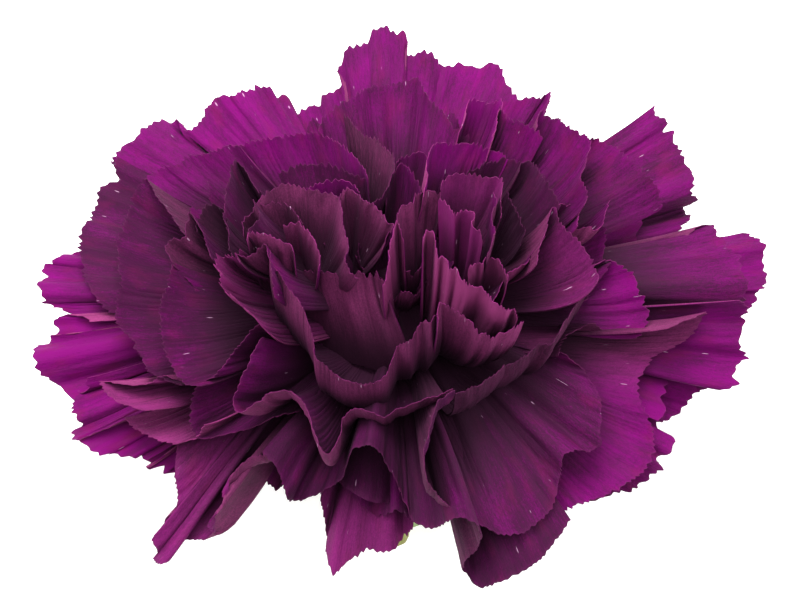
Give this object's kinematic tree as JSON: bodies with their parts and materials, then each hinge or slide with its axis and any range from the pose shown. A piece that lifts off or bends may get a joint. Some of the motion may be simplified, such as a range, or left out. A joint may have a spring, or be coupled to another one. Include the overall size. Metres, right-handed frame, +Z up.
{
  "type": "cut carnation flower head",
  "caption": "Double carnation head with ruffled, saw-edged petals over a toothed calyx, bracts and a short cut stub, lying back on a surface.",
  "frame": {"origin": "on the surface that the flower lies on, under the middle of its bounding box", "axes": "+Z up from that surface; +X along the bloom's width, to the right of someone looking into the flower; the cut stub points to -Y and the bloom leans back to +Y"},
  "size_m": [0.0742, 0.0584, 0.0458],
  "materials": {
    "petal": "velvety, soft sheen",
    "calyx": "waxy satin",
    "stem": "waxy satin"
  },
  "bodies": {
    "root": {"petals": "petal", "calyx": "calyx", "bracts": "calyx", "stem": "stem"}
  },
  "joints": []
}
